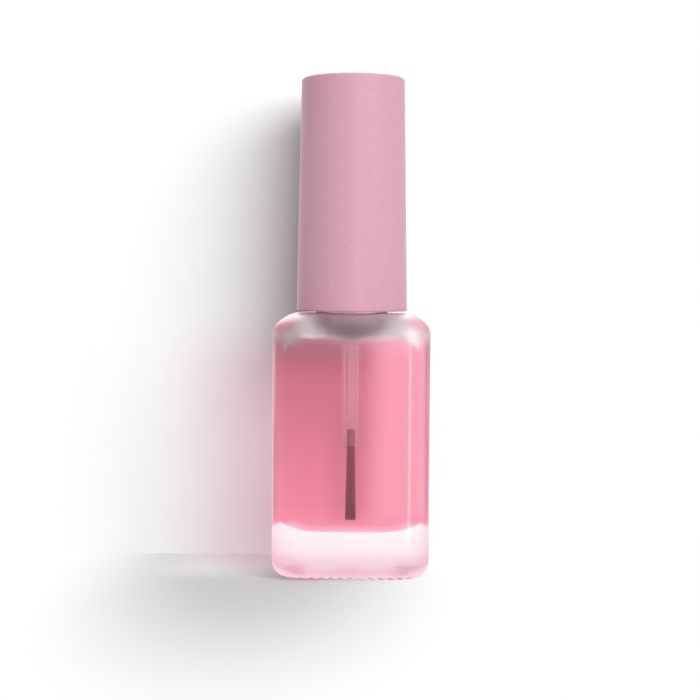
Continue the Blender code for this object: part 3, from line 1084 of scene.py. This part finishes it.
stem = {
    "radius": 0.00145,
    "tip": 0.02085,
    "collarLow": 0.0558,
    "collarHigh": 0.0568,
    "collarRadius": 0.0058,
    "spigotRadius": 0.0020,
    "spigotTop": 0.0633,
    "coreRadius": 0.0008,
    "coreLow": 0.02645,
    "socketRadius": 0.00075,
    "socketTop": 0.02525,
    "edgeRound": 0.00012,
    "spacing": 0.0008,
    "points": 96,
    "darker": (0.98, 0.97, 0.965),
    "lighter": (1, 0.995, 0.99),
    "roughness": 0.14,
    "haze": (500, 3, (1, 1, 0.2)),
    "drawn": (1800, 2, (1, 1, 0.1)),
    "bump": (0.08, 0.00003),
}


def stemFinish():
    material, tree = startFinish(
        "natural_polyethylene", stem["darker"], stem["roughness"],
        Transmission_Weight=0.97, IOR=1.05, Coat_Weight=0.4, Coat_Roughness=0.25)
    colourBy(tree, addNoise(tree, *stem["haze"]), stem["darker"], stem["lighter"])
    addBump(tree, addNoise(tree, *stem["drawn"]), *stem["bump"])
    return material


def makeStem():
    part = stem
    outline = [
        (0, part["coreLow"], "core"),
        (part["coreRadius"], part["coreLow"], "core"),
        (part["coreRadius"], part["spigotTop"], "spigot"),
        (part["spigotRadius"], part["spigotTop"], "spigot"),
        (part["spigotRadius"], part["collarHigh"], "collar"),
        (part["collarRadius"], part["collarHigh"], "collar"),
        (part["collarRadius"], part["collarLow"], "collar"),
        (part["radius"], part["collarLow"], "stem"),
        (part["radius"], part["tip"], "stem"),
        (part["socketRadius"], part["tip"], "socket"),
        (part["socketRadius"], part["socketTop"], "socket"),
        (0, part["socketTop"], "socket"),
    ]
    turnPiece("hollow_stem", part, outline, False, stemFinish(),
              "applicator", "natural_polyethylene", "brush_stem")


makeStem()
print("stem made")


# Staple wire across the tuft

staple = {
    "thickness": 0.0003,
    "width": 0.00134,
    "low": 0.0239,
    "high": 0.0252,
    "edgeRound": 0.00008,
    "grooves": 3,
    "grooveDepth": 0.00003,
    "squareness": 0.4,           # of its section: 1 is an ellipse, 0 a rectangle
    "thinning": 0.8,             # of the rounded ends across the thin way
    "points": 32,
    "rings": 24,
    "darker": (0.86, 0.86, 0.87),
    "lighter": (0.97, 0.97, 0.98),
    "roughness": (0.3, 0.5),
    "grain": (4000, 3, (1, 1, 0.05)),
    "bump": (0.2, 0.00001),
}


def makeStaple():
    # level sections of a flat wire with round edges, pinched by the marks of the tool
    part = staple
    rings = []
    for share in between(0, 1, part["rings"]):
        up = part["low"] + (part["high"] - part["low"]) * share
        ends = min(share, 1 - share) * (part["high"] - part["low"])
        drawnIn = part["edgeRound"] * (1 - smoothStep(ends / part["edgeRound"]))
        pinch = part["grooveDepth"] * (0.5 - 0.5 * math.cos(fullTurn * share * part["grooves"]))
        halfX = part["thickness"] / 2 - drawnIn * part["thinning"] - pinch
        halfY = part["width"] / 2 - drawnIn
        ring = []
        for index in range(part["points"]):
            angle = fullTurn * index / part["points"]
            across, deep = math.cos(angle), math.sin(angle)
            x = math.copysign(abs(across) ** part["squareness"], across) * halfX
            y = math.copysign(abs(deep) ** part["squareness"], deep) * halfY
            ring.append((x, y, up))
        rings.append(ring)
    rings.insert(0, [(0, 0, part["low"])])
    rings.append([(0, 0, part["high"])])
    finish = grainedFinish("staple_wire", part, Metallic=0.6)
    addPiece("wire_staple", skinMesh("wire_staple", rings), finish, "applicator",
             "staple_wire", "bristle_anchor")


makeStaple()
print("staple made")


# Bristles, and the fused root that they were melted into

root = {
    "top": 0.02385,
    "foot": 0.02115,
    "radius": 0.00069,
    "edgeRound": 0.0001,
    "grooves": 26,
    "grooveDepth": 0.00003,
    "points": 104,
    "spacing": 0.0003,
    "darker": (0.46, 0.25, 0.31),
    "lighter": (0.72, 0.47, 0.54),
    "roughness": (0.3, 0.5),
    "grain": (5000, 2, (1, 1, 0.05)),
}

bristles = {
    "count": 470,
    "radius": 0.000027,
    "tipRadius": 0.000014,
    "inset": 1.5,                # radii between the outermost hairs and the root's side
    "rootDepth": 0.0003,         # how far below the root's top the hairs start
    "free": 0.02085,
    "tips": 0.00885,
    "uneven": 0.00045,           # how far short the shortest hair is
    "midUneven": 0.4,            # share of that in the middle of the tuft
    "spread": 0.00024,
    "flare": 1.2,                # how late they spread
    "lean": 0.00005,
    "sway": 0.00006,
    "taperStart": 0.75,          # share of the length
    "sides": 5,
    "steps": 9,
    "seed": 7,
    "darker": (0.28, 0.125, 0.17),
    "lighter": (0.56, 0.30, 0.38),
    "roughness": (0.35, 0.5),
    "grain": (9000, 2, (1, 1, 0.02)),
}


def makeBristles():
    part = bristles
    chance = random.Random(part["seed"])
    goldenTurn = math.pi * (3 - math.sqrt(5))
    sides, steps = part["sides"], part["steps"]
    reach = root["radius"] - part["inset"] * part["radius"]
    high = root["top"] - part["rootDepth"]
    points, faces = [], []
    for index in range(part["count"]):
        share = math.sqrt((index + 0.5) / part["count"])
        angle = index * goldenTurn
        lean = chance.uniform(-part["lean"], part["lean"])
        sway = chance.uniform(-part["sway"], part["sway"])
        short = part["midUneven"] + (1 - part["midUneven"]) * share
        tip = part["tips"] + part["uneven"] * chance.random() ** 2 * short
        start = len(points)
        for along in between(0, 1, steps):
            up = high + (tip - high) * along
            below = max(0.0, (part["free"] - up) / (part["free"] - part["tips"]))
            out = reach * share + part["spread"] * share * below ** part["flare"]
            side = lean * below + sway * math.sin(below * math.pi)
            x = out * math.cos(angle) - side * math.sin(angle)
            y = out * math.sin(angle) + side * math.cos(angle)
            radius = part["radius"]
            past = (along - part["taperStart"]) / (1 - part["taperStart"])
            radius += (part["tipRadius"] - radius) * max(past, 0)
            for corner in range(sides):
                turn = fullTurn * corner / sides + index
                points.append((x + radius * math.cos(turn), y + radius * math.sin(turn), up))
        for step in range(steps):
            for corner in range(sides):
                a = start + step * sides + corner
                b = start + step * sides + (corner + 1) % sides
                faces.append((a, a + sides, b + sides, b))
        foot = start + steps * sides
        faces.append(tuple(range(start, start + sides)))
        faces.append(tuple(reversed(range(foot, foot + sides))))
    addPiece("brush_bristles", smoothMesh("brush_bristles", points, faces),
             grainedFinish("nylon_bristle", part), "applicator", "nylon_bristle", "bristle_tuft")


def rootGrooves(zone, angle, up):
    # the marks of the hairs
    share = 0.5 - 0.5 * math.cos(angle * root["grooves"])
    return -root["grooveDepth"] * share if zone == "side" else 0


def makeRoot():
    # pressed against the milky stem, so it looks paler than the hairs
    low, high, radius = root["foot"], root["top"], root["radius"]
    outline = [(0, high, "end"), (radius, high, "side"), (radius, low, "side"), (0, low, "end")]
    outline = finer(softCorners(outline, root["edgeRound"], False), root["spacing"], False)
    mesh = turnedMesh("bristle_root", outline, root["points"], False, rootGrooves)
    finish = grainedFinish("fused_root", root)
    addPiece("bristle_root", mesh, finish, "applicator", "nylon_bristle")


makeBristles()
makeRoot()
print("bristles made")


# Which lamp lights what

def gather(name, *pieces):
    group = bpy.data.collections.new(name)
    for piece in pieces:
        group.objects.link(bpy.data.objects[piece])
    return group


def linkLamps():
    lights = bpy.data.objects
    # oil and glass let the stage lamp through, so only the solid pieces shade it
    lights["stage_lamp"].light_linking.blocker_collection = gather(
        "stage_lamp_blockers", "cap_shell", "closure_inner", "brush_bristles")
    # these light the pieces alone, so they don't thin out the shadow on the stage
    pieces = gather("bottle_pieces", "bottle_glass", "bottle_oil", "oil_surface", "foam_washer",
                    "closure_inner", "cap_shell", "hollow_stem", "wire_staple", "brush_bristles",
                    "bristle_root")
    for lamp in ("front_soft_lamp", "back_soft_lamp"):
        lights[lamp].light_linking.receiver_collection = pieces


linkLamps()
print("lamps linked")

bpy.context.scene.view_settings.view_transform = "Standard"
